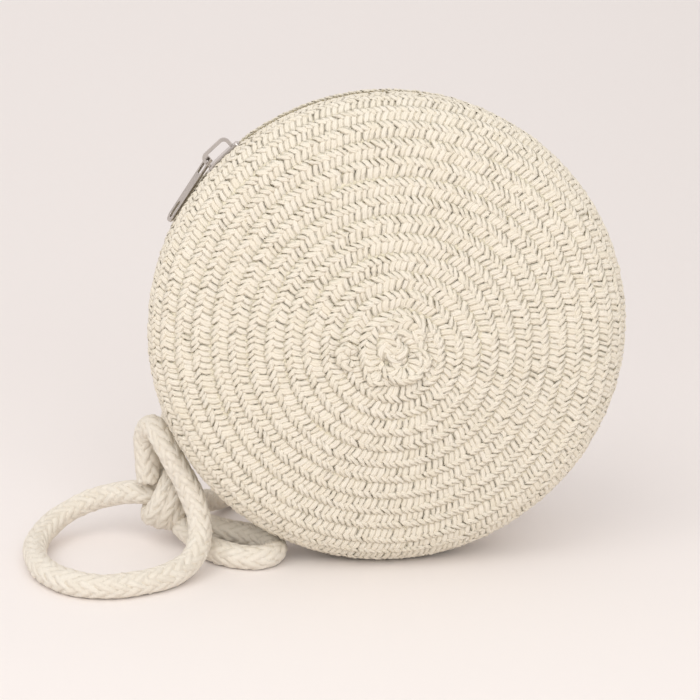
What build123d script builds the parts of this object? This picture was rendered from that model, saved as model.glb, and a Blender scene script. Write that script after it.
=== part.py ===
from build123d import *
import math
import os

# Round braided shoulder bag, standing upright on the bottom of its rim.
# +Z is up, +X is to the right and the front face looks along -Y. The origin is on the floor,
# under the middle of the bag. The bag's own axis runs along Y. All sizes are in millimetres,
# and angles round the bag are counted from its top, positive towards +X.

# ---- braided body ----
HALF_DEPTH = 35.0        # mid-plane to the crown of one face
CROWN_R = 196.0          # radius of the domed middle of a face
FACE_SLOPE = 11.7        # degrees, the slope of the face outside its domed middle
FACE_R = 76.2            # where the face ends and the shoulder starts
FLANK_SLOPE = 74.0       # degrees, the slope where the shoulder runs into the flank
FLANK_RUN = 3.6          # reach of the straight flank, from the rim to the rounded shoulder
WALL = 2.9               # thickness of the plait
RIM_GAP = 10.0           # open strip between the rims of the two halves
RIM_ROUND = 1.1          # rounded outer edge of each rim
SAG = 1.1                # how much the rim flattens where the bag stands

# ---- side band and lining ----
BAND_THICK = 2.2         # joining plait between the halves
BAND_RECESS = 1.9        # how far the joining plait sits below the rims
CLOTH = 0.6              # lining cloth and zip tape
SEAM = 0.3               # running gap between sewn layers
LINING_SETBACK = 1.2     # edge of the lining behind the rim
POCKET_W, POCKET_H, POCKET_THICK = 90.0, 62.0, 0.8
POCKET_DROP = 8.0        # middle of the pocket below the bag's axis

# ---- zip ----
ZIP_HALF_ANGLE = 47.8    # each end of the zip, in degrees from the top of the bag
TAPE_REACH = 15.0        # tape edge, out from the mid-plane
COIL_W = 2.25            # one row of coil, across the zip
COIL_H = 1.5             # one row of coil, out from the tape
GROOVE = 1.3             # slot between the two rows, where the slider's post runs
STOP_L = 1.6             # length of a stop along the zip
STOP_RISE = 0.5          # how far a stop stands above the coil

# ---- slider and pull ----
SLIDER_L = 15.0          # along the zip
SLIDER_W, SLIDER_TAIL_W = 9.0, 7.6
PLATE_T = 1.2            # top plate
UNDER_T = 1.0            # lower plate
PLATE_ROUND = 1.5        # corners of the plates, seen from above
PLATE_CHAMFER = 0.8      # outer edge of the top plate at its ends
FLANGE_W = 1.3           # turned-down edge of the top plate
RUN_GAP = 0.3            # slider to coil and tape
POST_W, POST_L = 0.7, 3.4
POST_OFFSET = 5.0        # middle of the post from the middle of the slider
BRIDGE_L, BRIDGE_RISE, BRIDGE_W, BRIDGE_T = 12.6, 4.7, 2.5, 1.3
BRIDGE_BEND = 2.0        # bend of the bridge, at the middle of its strip
BRIDGE_SHIFT = 1.1       # middle of the bridge from the middle of the slider, towards the pull
BAR_R = 0.65             # cross bar of the pull, held in the bridge
BAR_RISE = 2.0           # middle of the bar above the top plate
BAR_PLAY = 0.4           # bar to the end of the bridge
PULL_L = 28.0            # cross bar to the tip of the pull
PULL_W, PULL_T = 6.6, 1.0
PULL_TIP_ROUND = 3.0
EYE_L, EYE_LEG = 6.6, 1.2
SLOT_L, SLOT_W, SLOT_TIP = 7.0, 3.0, 1.7
PULL_TWIST = 15.0        # degrees, the pull leans over its near edge
PULL_RIDE = 2.0          # middle of the pull's tip above the stops

# ---- strap ----
ROPE_D = 9.0
ANCHOR_ANGLE = 97.0      # where each end of the strap leaves its sleeve
ANCHOR_SLOPE = 25.0      # slope of the shoulder under the sleeve
SLEEVE_L = 12.0
SLEEVE_WALL = 1.0        # cloth sleeve sewn round the rope's end
EXIT_RUN = 13.0          # straight run of rope below each sleeve
KNOT_X, KNOT_Y, KNOT_Z = -89.0, 17.0, 18.4
KNOT_LONG, KNOT_WIDE = 26.0, 23.0
KNOT_LEAN = 15.0         # degrees, the knot's long axis leans to the left
FLOOR_GAP = 0.1          # rope surface above the floor
COIL_Y = 95.0            # middle of the put-away coil, behind the bag
COIL_OUTER_R = 51.6      # middle of the rope in the outermost half turn
COIL_STEP = 10.4         # from one turn to the next
COIL_HALF_TURNS = 3

# ---- values worked out from the sizes above ----
def sin(degrees):
    return math.sin(math.radians(degrees))


def cos(degrees):
    return math.cos(math.radians(degrees))


def tan(degrees):
    return math.tan(math.radians(degrees))


RIM_HALF = RIM_GAP / 2
CROWN_END = (CROWN_R * sin(FACE_SLOPE), HALF_DEPTH - CROWN_R * (1 - cos(FACE_SLOPE)))
FACE_END = (FACE_R, CROWN_END[1] - (FACE_R - CROWN_END[0]) * tan(FACE_SLOPE))
SHOULDER_R = (FACE_END[1] - RIM_HALF - FLANK_RUN) / (cos(FACE_SLOPE) - cos(FLANK_SLOPE))
SHOULDER_X = FACE_END[0] - SHOULDER_R * sin(FACE_SLOPE)
SHOULDER_Y = FACE_END[1] - SHOULDER_R * cos(FACE_SLOPE)


def flank_r(depth, reach):
    """Distance from the bag's axis to the flank, depth under its surface, reach from the mid-plane."""
    end_x = SHOULDER_X + (SHOULDER_R - depth) * sin(FLANK_SLOPE)
    end_y = SHOULDER_Y + (SHOULDER_R - depth) * cos(FLANK_SLOPE)
    return end_x + (end_y - reach) / tan(FLANK_SLOPE)


RIM_R = flank_r(0, RIM_HALF)
AXIS_HEIGHT = RIM_R - SAG
CENTRE = Vector(0, 0, AXIS_HEIGHT)
BAG_AXIS = Axis((0, 0, AXIS_HEIGHT), (0, 1, 0))
BAND_R = RIM_R - BAND_RECESS
TAPE_DEPTH = WALL + SEAM
TAPE_OUT_R = flank_r(TAPE_DEPTH, RIM_HALF)
TAPE_IN_R = flank_r(TAPE_DEPTH + CLOTH, RIM_HALF)
LINING_DEPTH = TAPE_DEPTH + CLOTH + SEAM
LINING_EDGE = RIM_HALF + LINING_SETBACK
COIL_IN_R = TAPE_OUT_R + SEAM / 2
COIL_OUT_R = COIL_IN_R + COIL_H
PLATE_IN_R = COIL_OUT_R + RUN_GAP
PLATE_OUT_R = PLATE_IN_R + PLATE_T
UNDER_OUT_R = TAPE_IN_R - RUN_GAP
ZIP_END_GAP = math.degrees(SEAM / BAND_R)
SLIDER_ARC = math.degrees(SLIDER_L / PLATE_OUT_R)
STOP_ARC = math.degrees(STOP_L / COIL_OUT_R)
STOP_GAP = math.degrees(SEAM / COIL_OUT_R)
COIL_HALF_ANGLE = ZIP_HALF_ANGLE - STOP_ARC - STOP_GAP
SLIDER_REST = SLIDER_ARC / 2 - COIL_HALF_ANGLE
ROPE_R = ROPE_D / 2
ROPE_FLOOR = ROPE_R + FLOOR_GAP


def outward(angle):
    """Unit vector from the bag's axis towards its rim, angle degrees from the top."""
    return Vector(sin(angle), 0, cos(angle))


def along(angle):
    """Unit vector along the rim, towards greater angles."""
    return Vector(cos(angle), 0, -sin(angle))


def on_ring(radius, angle, y=0.0):
    """Point at a radius and an angle round the bag's axis."""
    return CENTRE + outward(angle) * radius + Vector(0, y, 0)


def radial_plane(angle, side):
    """Plane through the bag's axis: local X runs outward, local Y to the front (-1) or back (+1)."""
    return Plane(origin=CENTRE, x_dir=outward(angle), z_dir=Vector(-side * cos(angle), 0, side * sin(angle)))


def rim_plane(radius, angle):
    """Plane that touches the bag: local X along the rim, local Y to the front, local Z outward."""
    return Plane(origin=on_ring(radius, angle), x_dir=along(angle), z_dir=outward(angle))


FRONT, BACK = -1, 1


def wall_curve(depth, edge):
    """Draw the wall's profile, depth under its surface, from the axis to edge off the mid-plane."""
    crown = CenterArc((0, HALF_DEPTH - CROWN_R), CROWN_R - depth, 90, -FACE_SLOPE)
    shoulder = CenterArc((SHOULDER_X, SHOULDER_Y), SHOULDER_R - depth, 90 - FACE_SLOPE, FACE_SLOPE - FLANK_SLOPE)
    Line(crown @ 1, shoulder @ 0)
    rim = Vector(flank_r(depth, edge), edge)
    Line(shoulder @ 1, rim)
    return crown @ 0, rim


def layer_profile(depth, thick, edge):
    """Draw the closed profile of one layer of the dished half."""
    with BuildLine() as outline:
        outer_top, outer_rim = wall_curve(depth, edge)
        inner_top, inner_rim = wall_curve(depth + thick, edge)
        Line(outer_top, inner_top)
        Line(outer_rim, inner_rim)
    make_face(outline.edges())


def ring_section(inner_r, outer_r, low, high):
    """Draw a rectangle between two radii and two distances from the mid-plane."""
    with Locations(((inner_r + outer_r) / 2, (low + high) / 2)):
        Rectangle(outer_r - inner_r, high - low)


def finish(part, label):
    """Name a sub-part and write it."""
    part.label = label
    export_step(part, f"parts/{label}.step")


os.makedirs("parts", exist_ok=True)

# ---- braided halves: dished shells with a rounded rim, flattened where the bag stands ----
for side, name in ((FRONT, "front_shell"), (BACK, "back_shell")):
    with BuildPart() as shell:
        with BuildSketch(radial_plane(90, side)) as shell_profile:
            layer_profile(0, WALL, RIM_HALF)
            rim_corner = shell_profile.vertices().group_by(Axis.Y)[0].sort_by(Axis.X)[-1]
            fillet(rim_corner, RIM_ROUND)
        revolve(axis=BAG_AXIS)
        split(bisect_by=Plane.XY, keep=Keep.TOP)
    finish(shell.part, name)

# ---- joining plait: runs round the bottom from one end of the zip to the other ----
BAND_START = ZIP_HALF_ANGLE + ZIP_END_GAP
BAND_ARC = 360 - 2 * BAND_START
with BuildPart() as side_band:
    with BuildSketch(radial_plane(BAND_START, BACK)):
        ring_section(BAND_R - BAND_THICK, BAND_R, SEAM - RIM_HALF, RIM_HALF - SEAM)
    revolve(axis=BAG_AXIS, revolution_arc=BAND_ARC)
finish(side_band.part, "side_band")

# ---- lining: one dish in each half, and a strip under the joining plait ----
for side, name in ((FRONT, "front_lining"), (BACK, "back_lining")):
    with BuildPart() as lining:
        with BuildSketch(radial_plane(90, side)):
            layer_profile(LINING_DEPTH, CLOTH, LINING_EDGE)
        revolve(axis=BAG_AXIS)
    finish(lining.part, name)

with BuildPart() as side_lining:
    strip_out_r = BAND_R - BAND_THICK - SEAM
    with BuildSketch(radial_plane(BAND_START, BACK)):
        ring_section(strip_out_r - CLOTH, strip_out_r, SEAM - LINING_EDGE, LINING_EDGE - SEAM)
    revolve(axis=BAG_AXIS, revolution_arc=BAND_ARC)
finish(side_lining.part, "side_lining")

# ---- slip pocket: a patch that follows the back lining ----
POCKET_DEPTH = LINING_DEPTH + CLOTH + SEAM
with BuildPart() as inner_pocket:
    with BuildSketch(radial_plane(90, BACK)):
        layer_profile(POCKET_DEPTH, POCKET_THICK, LINING_EDGE)
    revolve(axis=BAG_AXIS)
    with BuildSketch(Plane.XZ):
        with Locations((0, AXIS_HEIGHT - POCKET_DROP)):
            RectangleRounded(POCKET_W, POCKET_H, POCKET_THICK * 5)
    extrude(amount=-HALF_DEPTH, mode=Mode.INTERSECT)
finish(inner_pocket.part, "inner_pocket")

# ---- zip: two tapes behind the rims, a row of coil on the edge of each, stops at both ends ----
ZIP_ARC = 2 * ZIP_HALF_ANGLE
COIL_LOW = GROOVE / 2
COIL_HIGH = COIL_LOW + COIL_W
for side, name in ((FRONT, "front"), (BACK, "back")):
    with BuildPart() as tape:
        with BuildSketch(radial_plane(-ZIP_HALF_ANGLE, side)):
            layer_profile(TAPE_DEPTH, CLOTH, RIM_HALF)
            with Locations((RIM_R, 0)):
                Rectangle(2 * RIM_R, 2 * TAPE_REACH, mode=Mode.INTERSECT)
            ring_section(TAPE_IN_R, TAPE_OUT_R, COIL_LOW, RIM_HALF)
        revolve(axis=BAG_AXIS, revolution_arc=ZIP_ARC)
    finish(tape.part, f"zip_tape_{name}")
    with BuildPart() as coil_row:
        with BuildSketch(radial_plane(-COIL_HALF_ANGLE, side)):
            ring_section(COIL_IN_R, COIL_OUT_R, COIL_LOW, COIL_HIGH)
        revolve(axis=BAG_AXIS, revolution_arc=2 * COIL_HALF_ANGLE)
    finish(coil_row.part, f"zip_coil_{name}")

with BuildPart() as zip_top_stops:
    with BuildSketch(radial_plane(-ZIP_HALF_ANGLE, BACK)):
        ring_section(COIL_IN_R, COIL_OUT_R + STOP_RISE, COIL_LOW, COIL_HIGH)
        ring_section(COIL_IN_R, COIL_OUT_R + STOP_RISE, -COIL_HIGH, -COIL_LOW)
    revolve(axis=BAG_AXIS, revolution_arc=STOP_ARC)
finish(zip_top_stops.part, "zip_top_stops")

with BuildPart() as zip_bottom_stop:
    with BuildSketch(radial_plane(ZIP_HALF_ANGLE - STOP_ARC, BACK)):
        ring_section(COIL_IN_R, COIL_OUT_R + STOP_RISE, -COIL_HIGH, COIL_HIGH)
    revolve(axis=BAG_AXIS, revolution_arc=STOP_ARC)
finish(zip_bottom_stop.part, "zip_bottom_stop")

# ---- slider: two plates that follow the rim, a post between them and a bridge on top ----
UNDER_MID_R = UNDER_OUT_R - UNDER_T / 2
PLATE_MID_R = PLATE_OUT_R - PLATE_T / 2
FLANGE_LOW = SLIDER_W / 2 - FLANGE_W
bridge_plane = Plane(origin=on_ring(PLATE_OUT_R, SLIDER_REST), x_dir=along(SLIDER_REST), z_dir=(0, -1, 0))
with BuildPart() as slider_body:
    with BuildSketch(radial_plane(SLIDER_REST - SLIDER_ARC / 2, BACK)):
        ring_section(PLATE_IN_R, PLATE_OUT_R, -SLIDER_W / 2, SLIDER_W / 2)
        ring_section(TAPE_OUT_R + RUN_GAP, PLATE_OUT_R, FLANGE_LOW, SLIDER_W / 2)
        ring_section(TAPE_OUT_R + RUN_GAP, PLATE_OUT_R, -SLIDER_W / 2, -FLANGE_LOW)
        ring_section(UNDER_OUT_R - UNDER_T, UNDER_OUT_R, -SLIDER_W / 2, SLIDER_W / 2)
    revolve(axis=BAG_AXIS, revolution_arc=SLIDER_ARC)
    top_ends = slider_body.edges().filter_by(Axis.Y).filter_by(lambda edge: edge.length > SLIDER_W * 0.9)
    chamfer(top_ends.sort_by_distance(BAG_AXIS.position)[-2:], PLATE_CHAMFER)
    with BuildSketch(rim_plane(PLATE_OUT_R, SLIDER_REST)):
        with BuildLine() as plan:
            Polyline(
                (-SLIDER_L / 2, -SLIDER_W / 2),
                (0, -SLIDER_W / 2),
                (SLIDER_L / 2, -SLIDER_TAIL_W / 2),
                (SLIDER_L / 2, SLIDER_TAIL_W / 2),
                (0, SLIDER_W / 2),
                (-SLIDER_L / 2, SLIDER_W / 2),
                close=True,
            )
        slider_plan = make_face()
        fillet(slider_plan.vertices().group_by(Axis.X)[0] + slider_plan.vertices().group_by(Axis.X)[-1], PLATE_ROUND)
    extrude(amount=SLIDER_W, both=True, mode=Mode.INTERSECT)
    with BuildSketch(rim_plane(UNDER_MID_R, SLIDER_REST)):
        with Locations((-POST_OFFSET, 0)):
            Rectangle(POST_L, POST_W)
    extrude(amount=PLATE_MID_R - UNDER_MID_R)
    with BuildSketch(bridge_plane):
        with BuildLine():
            FilletPolyline(
                (-BRIDGE_SHIFT - (BRIDGE_L - BRIDGE_T) / 2, -PLATE_T / 2),
                (-BRIDGE_SHIFT - (BRIDGE_L - BRIDGE_T) / 2, BRIDGE_RISE - BRIDGE_T / 2),
                (-BRIDGE_SHIFT + (BRIDGE_L - BRIDGE_T) / 2, BRIDGE_RISE - BRIDGE_T / 2),
                (-BRIDGE_SHIFT + (BRIDGE_L - BRIDGE_T) / 2, -PLATE_T / 2),
                radius=BRIDGE_BEND,
            )
        trace(line_width=BRIDGE_T)
    extrude(amount=BRIDGE_W / 2, both=True)
finish(slider_body.part, "slider_body")

# ---- pull: a stamped plate with an eye round the bridge and a slot near its tip ----
BAR_OFFSET = BRIDGE_SHIFT + BRIDGE_L / 2 - BRIDGE_T - BAR_PLAY - BAR_R
bar_centre = on_ring(PLATE_OUT_R + BAR_RISE, SLIDER_REST) - along(SLIDER_REST) * BAR_OFFSET
bar_radius = (bar_centre - CENTRE).length
bar_angle = math.degrees(math.atan2(bar_centre.X, bar_centre.Z - AXIS_HEIGHT))
tip_radius = COIL_OUT_R + STOP_RISE + PULL_RIDE
tip_turn = math.acos((bar_radius**2 + tip_radius**2 - PULL_L**2) / (2 * bar_radius * tip_radius))
pull_tip = on_ring(tip_radius, bar_angle - math.degrees(tip_turn))
pull_run = (pull_tip - bar_centre).normalized()
pull_lift = Vector(pull_run.Z, 0, -pull_run.X)
pull_across = Vector(0, cos(PULL_TWIST), 0) + pull_lift * sin(PULL_TWIST)
pull_plane = Plane(origin=bar_centre, x_dir=pull_run, z_dir=pull_run.cross(pull_across))
with BuildPart() as pull_tab:
    with BuildSketch(pull_plane):
        with Locations(((PULL_L - BAR_R) / 2, 0)):
            pull_plate = Rectangle(PULL_L + BAR_R, PULL_W)
        fillet(pull_plate.vertices().group_by(Axis.X)[-1], PULL_TIP_ROUND)
        with Locations(((EYE_L + BAR_R) / 2, 0)):
            Rectangle(EYE_L - BAR_R, PULL_W - 2 * EYE_LEG, mode=Mode.SUBTRACT)
        with Locations((PULL_L - SLOT_TIP - SLOT_L / 2, 0)):
            SlotOverall(SLOT_L, SLOT_W, mode=Mode.SUBTRACT)
    extrude(amount=PULL_T / 2, both=True)
    with BuildSketch(Plane(origin=bar_centre, x_dir=pull_run, z_dir=pull_across)):
        Circle(BAR_R)
    extrude(amount=PULL_W / 2, both=True)
finish(pull_tab.part, "pull_tab")

# ---- outside of the back half, grown by the seam, to seat what is sewn on it ----
with BuildPart() as back_envelope:
    with BuildSketch(radial_plane(90, BACK)):
        with BuildLine() as envelope_outline:
            envelope_top, envelope_rim = wall_curve(-SEAM, 0)
            Polyline(envelope_top, (0, 0), envelope_rim)
        make_face()
    revolve(axis=BAG_AXIS)

# ---- sleeves that hold the ends of the strap on the back shoulder, one on each side ----
ANCHOR_R = SHOULDER_X + (SHOULDER_R + SEAM + ROPE_R) * sin(ANCHOR_SLOPE)
ANCHOR_Y = SHOULDER_Y + (SHOULDER_R + SEAM + ROPE_R) * cos(ANCHOR_SLOPE)
for side, name in ((-1, "strap_sleeve_left"), (1, "strap_sleeve_right")):
    with BuildPart() as sleeve:
        strap_exit = on_ring(ANCHOR_R, side * ANCHOR_ANGLE, ANCHOR_Y)
        with BuildSketch(Plane(origin=strap_exit, z_dir=along(side * ANCHOR_ANGLE) * -side)):
            Circle(ROPE_R + SLEEVE_WALL)
        extrude(amount=SLEEVE_L)
        add(back_envelope.part, mode=Mode.SUBTRACT)
    finish(sleeve.part, name)

# ---- knot that gathers the slack of the strap ----
knot_centre = Vector(KNOT_X, KNOT_Y, KNOT_Z)
knot_axis = Vector(-sin(KNOT_LEAN), 0, cos(KNOT_LEAN))
with BuildPart() as strap_knot:
    with BuildSketch(Plane(origin=knot_centre, x_dir=(cos(KNOT_LEAN), 0, sin(KNOT_LEAN)), z_dir=(0, -1, 0))):
        Ellipse(KNOT_WIDE / 2, KNOT_LONG / 2)
        with Locations((-KNOT_WIDE / 2, 0)):
            Rectangle(KNOT_WIDE, KNOT_LONG, mode=Mode.SUBTRACT)
    revolve(axis=Axis(knot_centre, knot_axis))
finish(strap_knot.part, "strap_knot")

# ---- routes of the strap's free stretches, chosen by hand along the middle of the rope ----
left_exit = on_ring(ANCHOR_R, -ANCHOR_ANGLE, ANCHOR_Y)
right_exit = on_ring(ANCHOR_R, ANCHOR_ANGLE, ANCHOR_Y)
left_lead = left_exit - along(-ANCHOR_ANGLE) * EXIT_RUN
right_lead = right_exit + along(ANCHOR_ANGLE) * EXIT_RUN
coil_start = Vector(-COIL_OUTER_R, COIL_Y, ROPE_FLOOR)
coil_end = Vector(COIL_OUTER_R - (COIL_HALF_TURNS - 1) * COIL_STEP / 2, COIL_Y, ROPE_FLOOR)
coil_lead = coil_end - Vector(0, ROPE_D, 0)
LEFT_RUN = [left_exit, left_lead, (-83.5, 27, 56.5), (-87.5, 26, 43), (-88.5, 21, 28.5)]
BIG_LOOP = [
    (-95, 13.5, 28),
    (-95.5, 14.5, 38),
    (-96, 15.5, 47.8),
    (-92, 7.8, 54.2),
    (-87.8, 0, 49),
    (-83.2, -1, 40),
    (-78.2, -2, 30),
    (-74.5, -6, 20.5),
    (-74, -12.5, 12),
    (-77.5, -20.5, 6.5),
    (-86, -29, ROPE_FLOOR),
    (-98, -35, ROPE_FLOOR),
    (-111, -37, ROPE_FLOOR),
    (-124, -31, ROPE_FLOOR),
    (-134, -19.5, ROPE_FLOOR),
    (-139.5, -5, ROPE_FLOOR),
    (-140.5, 10, 5.2),
    (-134.5, 23, 9),
    (-122.5, 28, 14.5),
    (-109.5, 25, 19),
    (-97.5, 18.5, 22),
]
SMALL_LOOP = [
    (-82, 11, 9.5),
    (-75, 1, 5.4),
    (-64.5, -9.5, ROPE_FLOOR),
    (-53, -14.5, ROPE_FLOOR),
    (-44.5, -10, ROPE_FLOOR),
    (-44.5, 0.5, 5),
    (-54, 5.5, 6.6),
    (-66, 8, 8),
    (-75, 12.5, 10),
    (-81.5, 17.5, 12),
]
BACK_RUN = [
    (-84.5, 24, 16.5),
    (-77, 35, 11),
    (-69, 46.5, 6.5),
    (-60.5, 59, ROPE_FLOOR),
    (-54, 71, ROPE_FLOOR),
    (-COIL_OUTER_R, 84, ROPE_FLOOR),
    coil_start,
]
RIGHT_RUN = [
    coil_end,
    coil_lead,
    (38, 76.5, 8),
    (35.5, 66.5, 14.5),
    (38.5, 55.5, 19),
    (47, 45, 23.5),
    (57.5, 36.5, 31.5),
    (68, 31, 44.5),
    (76.5, 27.5, 57),
    right_lead,
    right_exit,
]


def corner_radii(points):
    """Radius of the arc at each corner: as large as the two runs beside it allow."""
    radii = []
    for before, corner, after in zip(points, points[1:], points[2:]):
        run_in, run_out = corner - before, after - corner
        half_turn = run_in.get_angle(run_out) / 2
        radii.append(0.45 * min(run_in.length, run_out.length) / tan(half_turn))
    return radii


def rope_tube(path_edges, start, heading):
    """Sweep the rope's round section along a path."""
    with BuildPart() as tube:
        with BuildLine() as path:
            add(path_edges)
        with BuildSketch(Plane(origin=start, z_dir=heading)):
            Circle(ROPE_R)
        sweep(path=path.wires()[0])
    return tube.part


def report_tube(label, tube, length):
    """Print how the tube's volume compares with its section times its length."""
    ratio = tube.volume / (math.pi * ROPE_R**2 * length)
    print(f"{label}: length {length:.1f}, volume over section times length {ratio:.4f}")


for label, route in (
    ("strap_left_run", LEFT_RUN),
    ("strap_big_loop", BIG_LOOP),
    ("strap_small_loop", SMALL_LOOP),
    ("strap_back_run", BACK_RUN),
    ("strap_right_run", RIGHT_RUN),
):
    points = [Vector(point) for point in route]
    radii = corner_radii(points)
    with BuildLine() as stretch:
        FilletPolyline(*points, radius=radii)
    stretch_wire = stretch.wires()[0]
    tube = rope_tube(stretch.edges(), points[0], points[1] - points[0])
    report_tube(label, tube, stretch_wire.length)
    print("  corner radii", [round(radius, 1) for radius in radii])
    finish(tube, label)

# ---- put-away coil: half turns that step inward, flat on the floor behind the bag ----
with BuildLine(Plane.XY.offset(ROPE_FLOOR)) as coil_path:
    turn_end_x = -COIL_OUTER_R
    for half_turn in range(COIL_HALF_TURNS):
        turn_r = COIL_OUTER_R - half_turn * COIL_STEP / 2
        heading_x = 1 if half_turn % 2 == 0 else -1
        CenterArc((turn_end_x + heading_x * turn_r, COIL_Y), turn_r, 90 + 90 * heading_x, -180)
        turn_end_x += 2 * heading_x * turn_r
coil_tube = rope_tube(coil_path.edges(), coil_start, (0, 1, 0))
report_tube("strap_coil", coil_tube, coil_path.wires()[0].length)
finish(coil_tube, "strap_coil")

coil_points = [coil_path.wires()[0].position_at(step / 240) for step in range(241)]
coil_spacing = coil_path.wires()[0].length / 240
skip = round(2 * ROPE_D / coil_spacing)
least = min(
    (first - second).length
    for place, first in enumerate(coil_points)
    for second in coil_points[place + skip:]
)
print(f"strap_coil: least gap to itself {least - ROPE_D:.2f}")
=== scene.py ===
import math

import bmesh
import bpy
import numpy as np
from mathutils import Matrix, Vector


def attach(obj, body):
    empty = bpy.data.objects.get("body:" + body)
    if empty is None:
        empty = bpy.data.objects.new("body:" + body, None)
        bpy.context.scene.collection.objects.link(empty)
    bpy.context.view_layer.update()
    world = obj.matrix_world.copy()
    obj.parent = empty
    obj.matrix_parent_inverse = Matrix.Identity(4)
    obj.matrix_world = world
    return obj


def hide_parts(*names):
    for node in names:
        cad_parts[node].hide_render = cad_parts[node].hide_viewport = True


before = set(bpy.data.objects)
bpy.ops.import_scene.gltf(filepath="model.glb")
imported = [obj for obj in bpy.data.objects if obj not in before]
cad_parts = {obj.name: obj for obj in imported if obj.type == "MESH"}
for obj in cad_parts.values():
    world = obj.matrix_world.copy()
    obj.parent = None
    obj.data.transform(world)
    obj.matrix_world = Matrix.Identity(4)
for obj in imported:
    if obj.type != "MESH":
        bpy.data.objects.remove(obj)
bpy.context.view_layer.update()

# A round shoulder bag of sewn straw plait with a knotted rope strap, made round the packed
# model. Sizes are in millimetres and angles in degrees until a mesh is written, which is in
# metres. +Z is up, the front face looks along -Y, and the bag's own axis runs along Y.

MM = 0.001
SEED = 41

# ---- body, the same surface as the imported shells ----
HALF_DEPTH = 35.0
CROWN_R = 196.0
FACE_SLOPE = 11.7
FACE_R = 76.2
FLANK_SLOPE = 74.0
FLANK_RUN = 3.6
WALL = 2.9
RIM_HALF = 5.0
SAG = 1.1
BAND_RECESS = 1.9
BAND_THICK = 2.2

# ---- plait ----
PLAIT_PITCH = 6.86       # from one round of plait to the next
PLAIT_WIDTH = 8.2        # the outer edge of a round laps over the next one
PLAIT_TILT = 0.60        # outer edge of a round stands up, inner edge tucks under
STITCH = 2.35            # from one stitch to the next along the plait
RIB_SPAN = (-0.50, 0.24)  # a rib crosses the plait from its inner edge, in plait widths
LAP_SPAN = (0.50, 0.10)  # a lap comes in from the outer edge
RIB_LEAD, LAP_LEAD = 1.9, 4.1    # how far each runs forward along the plait
RIB_HALF, LAP_HALF = 1.38, 1.04  # half the width of each
RIB_THICK, LAP_THICK = 0.46, 0.33
CRUMPLE = 0.10           # random rise and fall along a strand
EDGE_DIVE = 0.60         # how deep a lap starts under the plait's outer edge
STRAND_DROP = 0.80       # the plait's own zero height, below the outside of the bag
PLAIT_BED = 1.10         # surface under the strands, below the outside of the bag
RIM_PLAIT_WIDTH = 9.4    # the closed round along the rim, partly under the spiral's last turn
RIM_PLAIT_DROP = 0.35
RIM_TILT, RIM_DIVE = 0.2, 0.2    # the rim's round is pressed flat, with no deep teeth
RIM_CREST = 0.74         # and gets no painted crevice shade
SPIRAL_FROM = 264.0      # where turn 0 of the spiral lies, clockwise from the top
SPIRAL_SHY = 1.4         # from its last turn's edge to the rolled edge
TAPER_TURNS = 1 / 9      # its end narrows over this part of a turn
ROLL_TURN = 110.0        # how far the plait turns in over the rim
RIM_FROM = 90.0          # where the closed round starts, clockwise from the top
YARNS = 3                # yarns side by side in a strand
RIB_CREST_AT = 0.65      # share of a rib's length up to its crest
RIB_START, RIB_CLIMB, RIB_DIVE = -0.26, 0.62, 0.60    # heights at its start, up, and down again
LAP_CREST = 0.40
# random differences from one strand to the next
START_JITTER = 0.15      # in place along the plait
LEAD_JITTER = 0.13       # share of its lead
TIP_JITTER = 0.02        # in plait widths
HALF_JITTER = 0.12       # share of its width
HEIGHT_JITTER = 0.08
TINT_MEAN, TINT_JITTER = 0.42, 0.26

# ---- zip ----
ZIP_HALF_ANGLE = 47.8
SEAM = 0.3
CLOTH = 0.6
LINING_SETBACK = 1.2
LINING_TURNED = 1.0      # turned in at the lining's edge
TAPE_REACH = 15.0
TAPE_BEND = 0.4          # where a tape turns in under the rim, outside the rim's edge
TAPE_STEPS = 12
GROOVE = 1.3
COIL_W = 2.25
COIL_H = 1.5
COIL_PITCH = 1.3
STOP_L = 1.6
FILAMENT_R = 0.3

# ---- inner pocket ----
POCKET_W, POCKET_H, POCKET_DROP = 90.0, 62.0, 8.0
POCKET_THICK = 0.8
HEM_RISE, HEM_FROM = 0.25, 0.9   # the folded hem's height, and where it starts, 1 being the top

# ---- strap ----
ROPE_D = 9.0
ROPE_FLOOR = 4.6
ANCHOR_ANGLE = 97.0
ANCHOR_SLOPE = 25.0
SLEEVE_L = 12.0
EXIT_RUN = 13.0
KNOT_CENTRE = (-87.6, 17.0, 19.6)
COIL_Y = 95.0
COIL_OUTER_R = 51.6
COIL_STEP = 10.4
COIL_HALF_TURNS = 3
COIL_POINTS = 8          # route points in each half turn of the coil

# ---- least height over the floor ----
ROPE_CLEAR = 0.12
SHELL_CLEAR = 0.15
PLAIT_CLEAR = 0.25       # under this height the plait is pressed flat,
PLAIT_SQUASH = 0.12      # by no more than this


# ---- plain geometry ----
def sin_deg(angle):
    return np.sin(np.radians(angle))


def cos_deg(angle):
    return np.cos(np.radians(angle))


def unit(vectors):
    """The same directions, each of length 1."""
    return vectors / np.linalg.norm(vectors, axis=-1, keepdims=True)


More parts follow.
